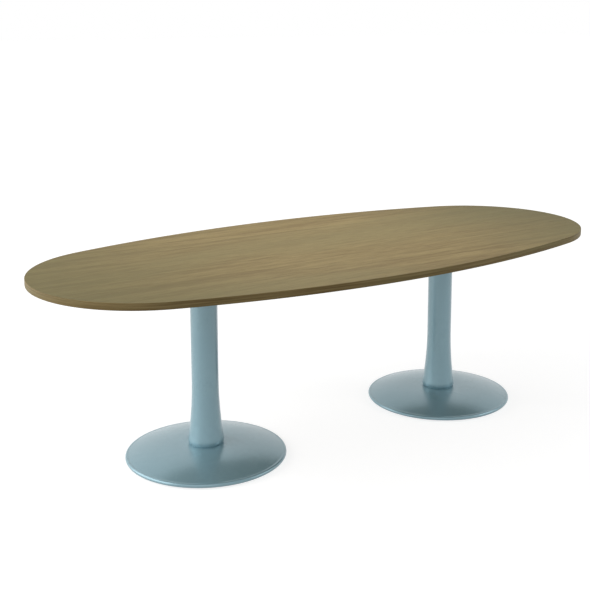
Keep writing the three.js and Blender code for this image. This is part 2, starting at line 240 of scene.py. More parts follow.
@dataclass
class Turning:
    """A turned part about an upright axis, gathered ring by ring.

    Its rings may be round, hexagonal or threaded. Every method that adds rings returns the part.
    """

    sides: int
    radii: list[np.ndarray] = field(default_factory=list)
    heights: list[np.ndarray] = field(default_factory=list)

    @property
    def angles(self) -> np.ndarray:
        """The angle of each column of points, in radians."""
        return np.linspace(0, FULL_TURN, self.sides, endpoint=False)

    def add(self, radii: np.ndarray, heights: np.ndarray) -> "Turning":
        """Adds rings.

        Args:
            radii: a row for each ring, with a radius for each of its points.
            heights: a height for each ring.

        Returns:
            The part.
        """
        self.radii.append(radii)
        self.heights.append(heights)
        return self

    def round(self, profile: Sequence[Sequence[float]] | np.ndarray) -> "Turning":
        """Adds round rings at rows of radius and height."""
        table = np.array(profile, float)
        return self.add(np.repeat(table[:, :1], self.sides, axis=1), table[:, 1])

    def hexagon(self, across: float, cones: Sequence[tuple[float, float]]) -> "Turning":
        """Adds hexagonal rings, each cut down to a circle.

        A ring's radius is the lesser of the hexagon's, across / 2 / cos(angle from the flat's middle), and
        the circle's.

        Args:
            across: across the flats.
            cones: rows of circle radius and height.

        Returns:
            The part.
        """
        table = np.array(cones, float)
        from_flat = self.angles % (math.pi / 3) - math.pi / 6
        return self.add(np.minimum(across / 2 / np.cos(from_flat), table[:, :1]), table[:, 1])

    def thread(self, radius: float, pitch: float, bottom: float, top: float) -> "Turning":
        """Adds a thread, which runs out in a chamfer at its upper end.

        The radius falls from crest to root as a triangle wave of height / pitch less the share of a turn.

        Args:
            radius: at the crests.
            pitch: from crest to crest.
            bottom: height of the first ring.
            top: height of the last ring.

        Returns:
            The part.
        """
        depth = THREAD_DEPTH * pitch
        height = np.linspace(bottom, top, int(THREAD_RINGS * (top - bottom) / pitch) + 1)[:, None]
        phase = height / pitch - self.angles / FULL_TURN
        wave = np.abs(2 * (phase % 1) - 1)
        chamfer = radius - depth + (top - height)
        return self.add(np.minimum(radius - depth * wave, chamfer), height[:, 0])

    def shell(self, x: float = 0.0, y: float = 0.0) -> Shell:
        """The skin about an axis.

        Each point is the axis plus radius times (cosine, sine) of its angle, at its ring's height.

        Args:
            x: the axis's place along the table.
            y: its place across the table.

        Returns:
            The skin.
        """
        radii, heights = np.concatenate(self.radii), np.concatenate(self.heights)
        level = np.broadcast_to(heights[:, None], radii.shape)
        points = [radii * np.cos(self.angles) + x, radii * np.sin(self.angles) + y, level]
        return Shell(np.stack(points, axis=-1))


def drilled(piece: bpy.types.Object, plugs: Sequence[Shell]) -> bpy.types.Object:
    """Cuts the plugs out of a piece with an exact boolean, and gives it the cut mesh.

    Args:
        piece: what is drilled.
        plugs: closed skins of the holes.

    Returns:
        The piece.
    """
    cutters = [mesh_piece(f"plug_{number}", plug) for number, plug in enumerate(plugs)]
    for cutter in cutters:
        cut = piece.modifiers.new(cutter.name, "BOOLEAN")
        cut.object = cutter
        cut.solver = "EXACT"
    graph = bpy.context.evaluated_depsgraph_get()
    mesh = bpy.data.meshes.new_from_object(piece.evaluated_get(graph))
    piece.modifiers.clear()
    piece.data = smoothed(mesh)
    mesh.name = piece.name
    for cutter in cutters:
        bpy.data.meshes.remove(cutter.data)
    return piece


def hole_plug(radius: float, bottom: float, top: float, x: float, y: float) -> Shell:
    """A round plug for a hole at x and y through what lies between bottom and top."""
    low, high = bottom - OVERCUT, top + OVERCUT
    return Turning(HOLE_SIDES).round([(0, low), (radius, low), (radius, high), (0, high)]).shell(x, y)


def colour(red: int, green: int, blue: int) -> Colour:
    """A colour as it looks on screen, in the linear values that a shader takes.

    A share of full up to 0.04045 is divided by 12.92. A greater one, plus 0.055 and over 1.055, is raised to
    the power 2.4.

    Args:
        red: from 0 to 255.
        green: from 0 to 255.
        blue: from 0 to 255.

    Returns:
        Linear red, green and blue, and full opacity.
    """
    share = [c / 255 for c in (red, green, blue)]
    linear = [c / 12.92 if c <= 0.04045 else ((c + 0.055) / 1.055) ** 2.4 for c in share]
    return (*linear, 1.0)


@dataclass(frozen=True)
class Pattern:
    """A soft noise, with its cells for each metre on each axis and a shift that sets it apart from others."""

    cells: tuple[float, float, float]
    shift: float = 0.0
    detail: float = 2.0
    roughness: float = 0.5
    distortion: float = 0.0


class Value:
    """An output in a shader's graph. Arithmetic on it adds Math nodes."""

    def __init__(self, graph: "Graph", socket: bpy.types.NodeSocket | None) -> None:
        """Keeps the socket and the graph that it belongs to."""
        self.graph = graph
        self.socket = socket

    def math(self, operation: str, *terms: "Value | float") -> "Value":
        """A Math node on these terms, in order."""
        return self.graph.node("ShaderNodeMath", {"operation": operation}, dict(enumerate(terms)))

    def __add__(self, other: "Value | float") -> "Value":
        """The sum."""
        return self.math("ADD", self, other)

    __radd__ = __add__

    def __sub__(self, other: "Value | float") -> "Value":
        """The difference."""
        return self.math("SUBTRACT", self, other)

    def __rsub__(self, other: "Value | float") -> "Value":
        """The difference from another term."""
        return self.math("SUBTRACT", other, self)

    def __mul__(self, other: "Value | float") -> "Value":
        """The product."""
        return self.math("MULTIPLY", self, other)

    __rmul__ = __mul__

    def ramp(self, low: float, high: float) -> "Value":
        """A smooth step from 0 at low to 1 at high."""
        inputs = {"Value": self, "From Min": low, "From Max": high}
        return self.graph.node("ShaderNodeMapRange", {"interpolation_type": "SMOOTHSTEP"}, inputs)

    def or_else(self, other: "Value") -> "Value":
        """The greater of two masks."""
        return self.math("MAXIMUM", self, other)


class Graph:
    """The node graph of one material or world."""

    def __init__(self, owner: bpy.types.Material | bpy.types.World) -> None:
        """Starts an empty graph on its owner."""
        owner.use_nodes = True
        self.tree = owner.node_tree
        self.tree.nodes.clear()

    def node(
        self,
        kind: str,
        settings: dict[str, Any] | None = None,
        inputs: dict[str | int, Any] | None = None,
        output: str | int = 0,
    ) -> Value:
        """Adds a node.

        Args:
            kind: the node's type.
            settings: its own settings, such as a Math node's operation.
            inputs: a value or a link for each socket, by name or number.
            output: which output to return.

        Returns:
            That output, ready for arithmetic; it is empty where the node has none.
        """
        made = self.tree.nodes.new(kind)
        for key, setting in (settings or {}).items():
            setattr(made, key, setting)
        for key, value in (inputs or {}).items():
            if isinstance(value, Value):
                self.tree.links.new(value.socket, made.inputs[key])
            else:
                made.inputs[key].default_value = value
        return Value(self, made.outputs[output] if len(made.outputs) else None)

    def place(self, source: str = "Object") -> Value:
        """Texture coordinates, the object's own in metres or its UV map."""
        return self.node("ShaderNodeTexCoord", output=source)

    def stretched(self, place: Value, cells: tuple[float, float, float], shift: float = 0.0) -> Value:
        """Coordinates times so many cells for each metre on each axis, and shifted."""
        inputs = {"Vector": place, "Scale": cells, "Location": [shift * way for way in AXIS_SHIFTS]}
        return self.node("ShaderNodeMapping", None, inputs)

    def noise(self, place: Value, pattern: Pattern) -> Value:
        """Soft noise around 0.5.

        Args:
            place: the coordinates.
            pattern: the noise's cells, shift and detail.

        Returns:
            The noise.
        """
        return self.node("ShaderNodeTexNoise", None, {
            "Vector": self.stretched(place, pattern.cells, pattern.shift),
            "Scale": 1.0,
            "Detail": pattern.detail,
            "Roughness": pattern.roughness,
            "Distortion": pattern.distortion,
        })

    def mix(self, share: Value, first: Value | Colour, second: Value | Colour) -> Value:
        """A colour between two: sockets 6 and 7 take them, and output 2 is the mixed colour."""
        return self.node("ShaderNodeMix", {"data_type": "RGBA"}, {0: share, 6: first, 7: second}, 2)

    def relief(self, height: Value, depth: float) -> Value:
        """A bump of this depth in metres."""
        return self.node("ShaderNodeBump", None, {"Height": height, "Distance": depth, "Strength": 1.0})

    def surface(self, **inputs: Any) -> None:
        """Ends a material with the principled shader; underscores in a socket's name stand for spaces."""
        sockets = {name.replace("_", " "): value for name, value in inputs.items()}
        shader = self.node("ShaderNodeBsdfPrincipled", None, sockets)
        self.node("ShaderNodeOutputMaterial", None, {"Surface": shader})


@dataclass(frozen=True)
class Finish:
    """A finish: its name, and the method that draws it.

    In that method, a ramp's numbers are the levels of a noise between which a mask rises, and the factor
    behind it is how much of the second colour the mask lays on.
    """

    name: str

    def draw(self, graph: Graph) -> None:
        """Draws the finish into an empty graph."""
        raise NotImplementedError

    def material(self) -> bpy.types.Material:
        """Draws the finish as a material, unless that is done.

        Returns:
            The material.
        """
        found = bpy.data.materials.get(self.name)
        if found is None:
            found = bpy.data.materials.new(self.name)
            self.draw(Graph(found))
        return found


@dataclass(frozen=True)
class WoodLaminate(Finish):
    """Printed laminate with long straight grain along X."""

    name: str = "olive_wood_laminate"
    dark: Colour = colour(125, 106, 66)
    light: Colour = colour(155, 137, 92)
    olive: Colour = colour(136, 125, 84)
    pore: Colour = colour(109, 90, 59)
    # painted shade: the darker olive laid on towards both ends of the board, where less light falls
    end: Colour = colour(104, 103, 67)
    end_shade_run: tuple[float, float] = (0.3, 1.3)
    streaks: Pattern = Pattern((1.5, 19, 19), 3.1, 6.0, 0.66, 1.1)
    veins: Pattern = Pattern((12, 170, 170), 8.4)
    flecks: Pattern = Pattern((16, 420, 420), 6.6, 3.0, 0.6)
    pores: Pattern = Pattern((26, 900, 900), 5.2, 2.0, 0.6)
    clouds: Pattern = Pattern((0.9, 3.2, 3.2), 1.3)
    roughness: float = 0.48
    ior: float = 1.2
    pore_depth: float = 0.00005

    def draw(self, graph: Graph) -> None:
        """Mixes dark and light by long streaks, olive in by slow clouds, and pores and flecks on top.

        Towards both ends of the board a painted shade turns the print to a darker olive.
        """
        place = graph.place()
        streak = graph.noise(place, self.streaks)
        vein = graph.noise(place, self.veins)
        fleck = graph.noise(place, self.flecks)
        pore = graph.noise(place, self.pores)
        cloud = graph.noise(place, self.clouds)
        along = graph.node("ShaderNodeSeparateXYZ", None, {0: place})
        ends = along.math("ABSOLUTE", along).ramp(*self.end_shade_run)
        wood = graph.mix((streak * 0.7 + vein * 0.3).ramp(0.34, 0.64), self.dark, self.light)
        wood = graph.mix(cloud.ramp(0.38, 0.68) * 0.6, wood, self.olive)
        # painted shade: the print darkens to the end colour towards both ends of the board
        wood = graph.mix(ends * 0.6, wood, self.end)
        wood = graph.mix(pore.ramp(0.56, 0.76) * 0.35, wood, self.pore)
        wood = graph.mix(fleck.ramp(0.48, 0.66) * 0.5, wood, self.pore)
        rough = pore * 0.12 + streak * 0.06 + self.roughness
        relief = graph.relief(pore, self.pore_depth)
        graph.surface(Base_Color=wood, Roughness=rough, IOR=self.ior, Normal=relief)


@dataclass(frozen=True)
class WoodBand(Finish):
    """Printed edge band, whose grain follows its own length."""

    name: str = "brown_wood_band"
    dark: Colour = colour(97, 80, 48)
    light: Colour = colour(134, 117, 79)
    olive: Colour = colour(120, 112, 75)
    streaks: Pattern = Pattern((3.2, 190, 1), 2.2, 4.0, 0.6)
    pores: Pattern = Pattern((40, 900, 1), 6.1, 2.0, 0.6)
    clouds: Pattern = Pattern((1.6, 9, 1), 4.7)
    roughness: float = 0.42
    ior: float = 1.2
    pore_depth: float = 0.00004

    def draw(self, graph: Graph) -> None:
        """Mixes dark and light by streaks along the band, olive in by slow clouds, and dark pores on top."""
        place = graph.place("UV")
        streak = graph.noise(place, self.streaks)
        pore = graph.noise(place, self.pores)
        cloud = graph.noise(place, self.clouds)
        wood = graph.mix(streak.ramp(0.3, 0.7), self.dark, self.light)
        wood = graph.mix(cloud.ramp(0.42, 0.7) * 0.7, wood, self.olive)
        wood = graph.mix(pore.ramp(0.55, 0.8) * 0.4, wood, self.dark)
        rough = pore * 0.15 + self.roughness
        relief = graph.relief(pore, self.pore_depth)
        graph.surface(Base_Color=wood, Roughness=rough, IOR=self.ior, Normal=relief)


@dataclass(frozen=True)
class Chipboard(Finish):
    """Raw chipboard of pressed flakes."""

    name: str = "raw_chipboard"
    dark: Colour = colour(138, 107, 68)
    light: Colour = colour(205, 180, 137)
    flakes: tuple[float, float, float] = (160, 260, 420)
    dust: Pattern = Pattern((900, 900, 900))
    roughness: float = 0.86
    flake_depth: float = 0.00025

    def draw(self, graph: Graph) -> None:
        """Gives each cell of a stretched cell pattern its own shade between dark and light, under dust."""
        place = graph.place()
        cells = {"Vector": graph.stretched(place, self.flakes), "Scale": 1.0, "Randomness": 1.0}
        flake = graph.node("ShaderNodeTexVoronoi", None, cells, "Color")
        shade = graph.node("ShaderNodeSeparateColor", None, {0: flake})
        dust = graph.noise(place, self.dust)
        wood = graph.mix(shade * 0.7 + dust * 0.3, self.dark, self.light)
        relief = graph.relief(shade * 0.6 + dust, self.flake_depth)
        graph.surface(Base_Color=wood, Roughness=self.roughness, Normal=relief)


@dataclass(frozen=True)
class PowderCoat(Finish):
    """Satin blue-grey powder coat with a fine metallic cast."""

    name: str = "blue_grey_powder_coat"
    base: Colour = colour(134, 167, 178)
    flake: Colour = colour(152, 184, 193)
    shade: Colour = colour(122, 156, 168)
    flakes: Pattern = Pattern((2600, 2600, 2600), 0.0, 1.0)
    clouds: Pattern = Pattern((7, 7, 5), 2.0, 3.0)
    peel: Pattern = Pattern((420, 420, 420), 4.0, 1.0)
    metallic: float = 0.29
    roughness: float = 0.23
    coat: float = 0.34
    gloss: float = 0.22
    coat_ior: float = 1.5
    peel_depth: float = 0.000008

    def draw(self, graph: Graph) -> None:
        """Lays fine light flakes and slow shade on the base colour, over a faint orange-peel relief."""
        place = graph.place()
        fleck = graph.noise(place, self.flakes)
        cloud = graph.noise(place, self.clouds)
        paint = graph.mix(fleck.ramp(0.55, 0.75) * 0.5, self.base, self.flake)
        paint = graph.mix(cloud.ramp(0.35, 0.75) * 0.25, paint, self.shade)
        rough = cloud * 0.05 + fleck * 0.05 + self.roughness
        relief = graph.relief(graph.noise(place, self.peel), self.peel_depth)
        coat = {"Coat_Weight": self.coat, "Coat_Roughness": self.gloss, "Coat_IOR": self.coat_ior}
        graph.surface(Base_Color=paint, Metallic=self.metallic, Roughness=rough, Normal=relief, **coat)


@dataclass(frozen=True)
class Casting(Finish):
    """Rough cast metal: iron dipped black, or bare sand-cast alloy."""

    low: Colour = colour(52, 54, 56)
    high: Colour = colour(74, 76, 79)
    metallic: float = 0.2
    roughness: float = 0.62
    grit: float = 0.00035
    blotches: Pattern = Pattern((24, 24, 24), 1.0, 4.0, 0.6)
    grains: Pattern = Pattern((700, 700, 700), 2.0, 3.0, 0.65)

    def draw(self, graph: Graph) -> None:
        """Shades the metal by blotches, over a relief of sand grains."""
        place = graph.place()
        blotch = graph.noise(place, self.blotches)
        grain = graph.noise(place, self.grains)
        metal = graph.mix((blotch * 0.6 + grain * 0.4).ramp(0.35, 0.65), self.low, self.high)
        rough = (grain - 0.5) * 0.2 + self.roughness
        relief = graph.relief(grain, self.grit)
        graph.surface(Base_Color=metal, Metallic=self.metallic, Roughness=rough, Normal=relief)


@dataclass(frozen=True)
class TurnedMetal(Finish):
    """Machined metal with fine lathe marks: zinc-plated steel or brass."""

    low: Colour = colour(168, 170, 166)
    high: Colour = colour(201, 203, 199)
    clouds: Pattern = Pattern((90, 90, 90), 1.0, 3.0)
    rings: Pattern = Pattern((40, 40, 5200), 3.0, 1.0)
    metallic: float = 0.95
    roughness: float = 0.2
    ring_depth: float = 0.00002

    def draw(self, graph: Graph) -> None:
        """Shades the metal by faint clouds, over level rings about the axis."""
        place = graph.place()
        cloud = graph.noise(place, self.clouds)
        ring = graph.noise(place, self.rings)
        metal = graph.mix((cloud * 0.7 + ring * 0.3).ramp(0.35, 0.65), self.low, self.high)
        rough = cloud * 0.16 + ring * 0.1 + self.roughness
        relief = graph.relief(ring, self.ring_depth)
        graph.surface(Base_Color=metal, Metallic=self.metallic, Roughness=rough, Normal=relief)


@dataclass(frozen=True)
class MouldedNylon(Finish):
    """Moulded black nylon, scuffed grey where it slides."""

    name: str = "black_nylon"
    base: Colour = colour(30, 31, 33)
    scuff: Colour = colour(66, 66, 68)
    scuffs: Pattern = Pattern((160, 160, 60), 1.0, 5.0, 0.7)
    grains: Pattern = Pattern((1500, 1500, 1500), 2.0, 1.0)
    roughness: float = 0.42
    grain_depth: float = 0.00003

    def draw(self, graph: Graph) -> None:
        """Lays scuffs on the base colour, over a fine texture."""
        place = graph.place()
        scuff = graph.noise(place, self.scuffs)
        grain = graph.noise(place, self.grains)
        skin = graph.mix(scuff.ramp(0.55, 0.75) * 0.6, self.base, self.scuff)
        rough = grain * 0.15 + self.roughness
        graph.surface(Base_Color=skin, Roughness=rough, Normal=graph.relief(grain, self.grain_depth))


FINISHES: dict[Slot, Finish] = {
    Slot.LAMINATE: WoodLaminate(),
    Slot.BAND: WoodBand(),
    Slot.CHIPBOARD: Chipboard(),
    Slot.PAINT: PowderCoat(),
    Slot.IRON: Casting("black_cast_iron"),
    Slot.ALLOY: Casting(
        "sand_cast_alloy",
        low=colour(132, 134, 136),
        high=colour(168, 170, 171),
        metallic=0.75,
        roughness=0.5,
        grit=0.0003,
    ),
    Slot.ZINC: TurnedMetal("zinc_plate"),
    Slot.BRASS: TurnedMetal("turned_brass", low=colour(160, 132, 66), high=colour(196, 168, 98)),
    Slot.NYLON: MouldedNylon(),
}


@dataclass
class Assembly:
    """Pieces that are built and dressed together."""

    made: list[tuple[bpy.types.Object, Slot]] = field(default_factory=list, init=False)

    def fit(self, piece: bpy.types.Object, node: str, slot: Slot, body: str = "table") -> None:
        """Lets a piece stand for a CAD node.

        Args:
            piece: the finished piece.
            node: the node that it replaces.
            slot: its material slot.
            body: the body that it rides on.
        """
        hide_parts(node)
        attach(piece, body)
        self.made.append((piece, slot))

    def build(self) -> None:
        """Makes the pieces' meshes."""
        raise NotImplementedError

    def dress(self) -> None:
        """Gives each piece its finish."""
        for piece, slot in self.made:
            piece.data.materials.clear()
            piece.data.materials.append(FINISHES[slot].material())
            log.info("%s: %d faces, %s", piece.name, len(piece.data.polygons), slot.value)


@dataclass
class TableTop(Assembly):
    """The oval board: laminates above and below a core, and a band with rounded arrises round its edge."""

    length: float = 2.4
    width: float = 1.08
    height: float = 0.74
    thickness: float = 0.025
    end_tightening: float = 0.104  # how much less than half the width the ends' radius is
    laminate: float = 0.0008
    band: float = 0.002
    arris: float = 0.0017  # rounding of the band's outer edges
    joint: float = 0.0001  # glue line between laminate and band
    insert_hole: float = 0.0053  # radius of the backing's holes over the inserts
    end_steps: int = 40
    side_steps: int = 72
    cross_steps: int = 14
    arris_steps: int = 5

    def half_outline(self) -> tuple[np.ndarray, np.ndarray]:
        """Half of the oval, from its right end over its far side to its left end.

        The side is an arc of the radius that runs tangent into the end's arc: the square of the end's centre
        plus that of half the width, less that of the end's radius, over twice what the end is tightened by.

        Returns:
            The points, and the unit directions that point outwards there.
        """
        half_width = self.width / 2
        end_radius = half_width - self.end_tightening
        end_centre = self.length / 2 - end_radius
        side_radius = (end_centre**2 + half_width**2 - end_radius**2) / (2 * self.end_tightening)
        side_centre = half_width - side_radius
        join = 90 - math.degrees(math.atan2(end_centre, -side_centre))
        right = arc((0, 0), 1, 0, join, self.end_steps)[:-1]
        side = arc((0, 0), 1, join, 180 - join, self.side_steps)[:-1]
        left = arc((0, 0), 1, 180 - join, 180, self.end_steps)
        points = [
            (end_centre, 0) + end_radius * right,
            (0, side_centre) + side_radius * side,
            (-end_centre, 0) + end_radius * left,
        ]
        return np.concatenate(points), np.concatenate([right, side, left])

    def sheet(self, inset: float, bottom: float, top: float) -> Shell:
        """A flat sheet inside the oval.

        A row crosses the sheet at one point (x, y) of the half outline: (x, y t) for t from -1 to 1 on its
        upper face, and back on its lower one.

        Args:
            inset: how far its edge lies inside the oval.
            bottom: height of its lower face.
            top: height of its upper face.

        Returns:
            Its skin.
        """
        points, outward = self.half_outline()
        edge = points - inset * outward
        across = np.linspace(-1, 1, self.cross_steps + 1)
        there_and_back = np.concatenate([across, across[::-1]])
        y = edge[:, 1:] * there_and_back
        y[[0, -1]] = 0
        z = np.concatenate([np.full_like(across, top), np.full_like(across, bottom)])
        grid = np.stack([np.repeat(edge[:, :1], len(z), 1), y, np.broadcast_to(z, y.shape)], axis=-1)
        return Shell(grid, loops=False)

    def edging(self) -> Shell:
        """The band: its section, with both outer arrises rounded, carried round the oval.

        A point is the outline's point less the outward direction times the section's inset. The UV is the
        length along the outline and the length along the section, both in metres.

        Returns:
            Its skin.
        """
        bottom = self.height - self.thickness
        corners = [
            (self.band, bottom, 0),
            (0, bottom, self.arris),
            (0, self.height, self.arris),
            (self.band, self.height, 0),
        ]
        section = rounded(corners, self.arris_steps)
        far, far_out = self.half_outline()
        outline = np.concatenate([far[:-1], -far[:-1]])
        outward = np.concatenate([far_out[:-1], -far_out[:-1]])
        quarter = len(far) // 2
        outline, outward = np.roll(outline, -quarter, axis=0), np.roll(outward, -quarter, axis=0)
        level = outline[:, None] - section[None, :, :1] * outward[:, None]
        height = np.broadcast_to(section[None, :, 1:], (*level.shape[:2], 1))
        along = self.running_length(outline)
        around = self.running_length(section)
        uv = np.stack(np.meshgrid(along, around, indexing="ij"), axis=-1)
        return Shell(np.concatenate([level, height], axis=-1), uv)

    @staticmethod
    def running_length(ring: np.ndarray) -> np.ndarray:
        """The length along a closed ring of points, from 0 to all of it."""
        steps = np.linalg.norm(np.roll(ring, -1, axis=0) - ring, axis=1)
        return np.concatenate([[0], np.cumsum(steps)])

    def build(self) -> None:
        """Makes the top surface, the band and the drilled backing."""
        bottom = self.height - self.thickness
        inset = self.band + self.joint
        upper = self.sheet(inset, self.height - self.laminate, self.height)
        lower = self.sheet(inset, bottom, bottom + self.laminate)
        self.fit(mesh_piece("top_surface", upper), "top_laminate", Slot.LAMINATE)
        self.fit(mesh_piece("edge_banding", self.edging()), "edge_band", Slot.BAND)
        backing = mesh_piece("backing_sheet", lower)
        holes = [
            hole_plug(self.insert_hole, bottom, bottom + self.laminate, side.axis + x, y)
            for side in Side
            for x, y in Pedestal.corners(Spider.reach)
        ]
        self.fit(drilled(backing, holes), "backing_laminate", Slot.LAMINATE)
        self.made.append((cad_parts["board_core"], Slot.CHIPBOARD))


@dataclass
class PedestalPart(Assembly):
    """A sub-assembly of one pedestal. Its pieces and nodes carry the side's name in front."""

    side: Side = Side.LEFT

    def fit_turned(
        self,
        name: str,
        node: str,
        turning: Turning,
        slot: Slot,
        place: tuple[float, float] = (0.0, 0.0),
        body: str = "table",
    ) -> None:
        """Makes a turned piece and lets it stand for its node.

        Args:
            name: the piece's name, without the side.
            node: the node's name, without the side.
            turning: the turned part.
            slot: its material slot.
            place: x and y of its axis, from the pedestal's.
            body: the body that it rides on.
        """
        shell = turning.shell(self.side.axis + place[0], place[1])
        self.fit(mesh_piece(f"{self.side.word}_{name}", shell), f"{self.side.word}_{node}", slot, body)


@dataclass
class Column(PedestalPart):
    """A trumpet column: a straight tube that flares out over its lower third and curls under at the foot."""

    radius: float = 0.05
    wall: float = 0.0025
    foot: float = 0.0663  # radius where flare and lip meet
    lip: tuple[float, float] = (0.0065, 0.017)  # half axes of the lip's ellipse, across and up
    lip_start: float = -62.0  # degrees on the ellipse at which the lip stands on the seat
    seat: float = 0.054  # height of the cover's seat
    flare: float = 0.236  # height over the seat at which the flare ends
    top: float = 0.71
    sides: int = 96
    flare_steps: int = 48
    lip_steps: int = 20

    def build(self) -> None:
        """Makes the tube.

        The radius at a height is the tube's plus the flare's times the square of the share of the flare that
        lies above. Below it the wall turns in along an upright ellipse, each point of which is the ellipse's
        centre plus (depth times cosine, height times sine), from the start angle on. The inner wall is the
        outer one less the sheet's thickness in radius.
        """
        share = np.linspace(1, 0, self.flare_steps + 1)
        slope = 2 * (self.foot - self.radius) / self.flare
        depth, height = self.lip
        turn = math.atan(slope * height / depth)
        lip = arc((0, 0), 1, self.lip_start, math.degrees(turn), self.lip_steps) * self.lip
        lip += (self.foot - lip[-1, 0], self.seat - lip[0, 1])
        flare = np.column_stack([
            self.radius + (self.foot - self.radius) * share**2,
            lip[-1, 1] + (self.seat + self.flare - lip[-1, 1]) * (1 - share),
        ])
        outside = np.concatenate([lip[:-1], flare, [(self.radius, self.top)]])
        profile = np.concatenate([outside, outside[::-1] - (self.wall, 0)])
        self.fit_turned("column", "column_tube", Turning(self.sides).round(profile), Slot.PAINT)


@dataclass
class BaseCover(PedestalPart):
    """The pressed cover of a base: flat seat, dome, rolled rim and hem in one sheet."""

    radius: float = 0.3
    seat: float = 0.0623  # radius of the flat under the column
    height: float = 0.054
    sheet: float = 0.002
    roll: float = 0.008
    clearance: float = 0.0055  # from the floor to the hem
    brim: float = 0.003  # width of the flat before the roll
    brim_blend: float = 0.006  # run over which the dome flattens into the brim
    crown: float = 2.2  # power of the run by which the dome falls
    hem: float = 0.008  # width that is turned in under the roll
    bore: float = 0.0085
    fine_run: float = 0.009  # last run before the roll, with closer rings
    sides: int = 160
    dome_steps: int = 47
    fine_steps: int = 39
    roll_steps: int = 24

    def dome(self, foot: float) -> np.ndarray:
        """The dome from the seat to the top of the roll, with a narrow flat brim before the roll.

        Its slope is a power of the share of the run, which a smooth step takes to nothing where the brim
        begins; the height is the seat's less the slope's running sum, scaled to end at the foot's height. The
        rings lie closer over the last run before the roll.

        Args:
            foot: the height at which the brim meets the roll.

        Returns:
            Rows of radius and height.
        """
        end = self.radius - self.roll
        near = end - self.fine_run
        radius = np.concatenate([
            np.linspace(self.seat, near, self.dome_steps + 1)[:-1],
            np.linspace(near, end, self.fine_steps + 1),
        ])
        share = (radius - self.seat) / (end - self.seat)
        step = np.clip((radius - (end - self.brim)) / self.brim_blend + 0.5, 0, 1)
        slope = share ** (self.crown - 1) * (1 - step**2 * (3 - 2 * step))
        fall = np.concatenate([[0], np.cumsum((slope[1:] + slope[:-1]) / 2 * np.diff(radius))])
        return np.column_stack([radius, self.height - (self.height - foot) * fall / fall[-1]])

    def build(self) -> None:
        """Makes the cover."""
        rim = (self.radius - self.roll, self.clearance + self.roll)
        dome = self.dome(rim[1] + self.roll)[:-1]
        edge = rim[0] - self.hem
        outside = [
            [(self.bore, self.height)],
            dome,
            arc(rim, self.roll, 90, -90, self.roll_steps),
            [(edge, self.clearance)],
        ]
        inside = [
            [(edge, self.clearance + self.sheet)],
            arc(rim, self.roll - self.sheet, -90, 90, self.roll_steps),
            (dome - (0, self.sheet))[::-1],
            [(self.bore, self.height - self.sheet)],
        ]
        turning = Turning(self.sides).round(np.concatenate(outside + inside))
        self.fit_turned("base", "base_cover", turning, Slot.PAINT)


@dataclass
class Ballast(PedestalPart):
    """The cast ballast under a cover, with a boss to the seat, a pocket for the nut and four tapped holes."""

    radius: float = 0.27
    bottom: float = 0.008
    thickness: float = 0.012
    boss: float = 0.0563  # radius of the boss at its top
    draft: float = 0.006  # how much wider the boss is at its root
    boss_top: float = 0.052
    bore: float = 0.0085
    pocket: float = 0.02  # radius of the nut's pocket
    ceiling: float = 0.026  # height of the pocket's roof
    tapping: float = 0.0053  # radius of the tapped holes
    pocket_round: float = 0.001
    foot_round: float = 0.002
    rim_round: float = 0.003
    root_round: float = 0.004
    boss_round: float = 0.002
    sides: int = 120

    def build(self) -> None:
        """Makes the casting, with rounded edges, and drills it."""
        top = self.bottom + self.thickness
        corners = [
            (self.pocket, self.bottom, self.pocket_round),
            (self.radius, self.bottom, self.foot_round),
            (self.radius, top, self.rim_round),
            (self.boss + self.draft, top, self.root_round),
            (self.boss, self.boss_top, self.boss_round),
            (self.bore, self.boss_top, 0),
            (self.bore, self.ceiling, 0),
            (self.pocket, self.ceiling, self.pocket_round),
        ]
        shell = Turning(self.sides).round(rounded(corners)).shell(self.side.axis)
        casting = mesh_piece(f"{self.side.word}_ballast", shell)
        holes = [
            hole_plug(self.tapping, self.bottom, top, self.side.axis + x, y)
            for x, y in Pedestal.corners(Glide.circle)
        ]
        self.fit(drilled(casting, holes), f"{self.side.word}_ballast_plate", Slot.IRON)


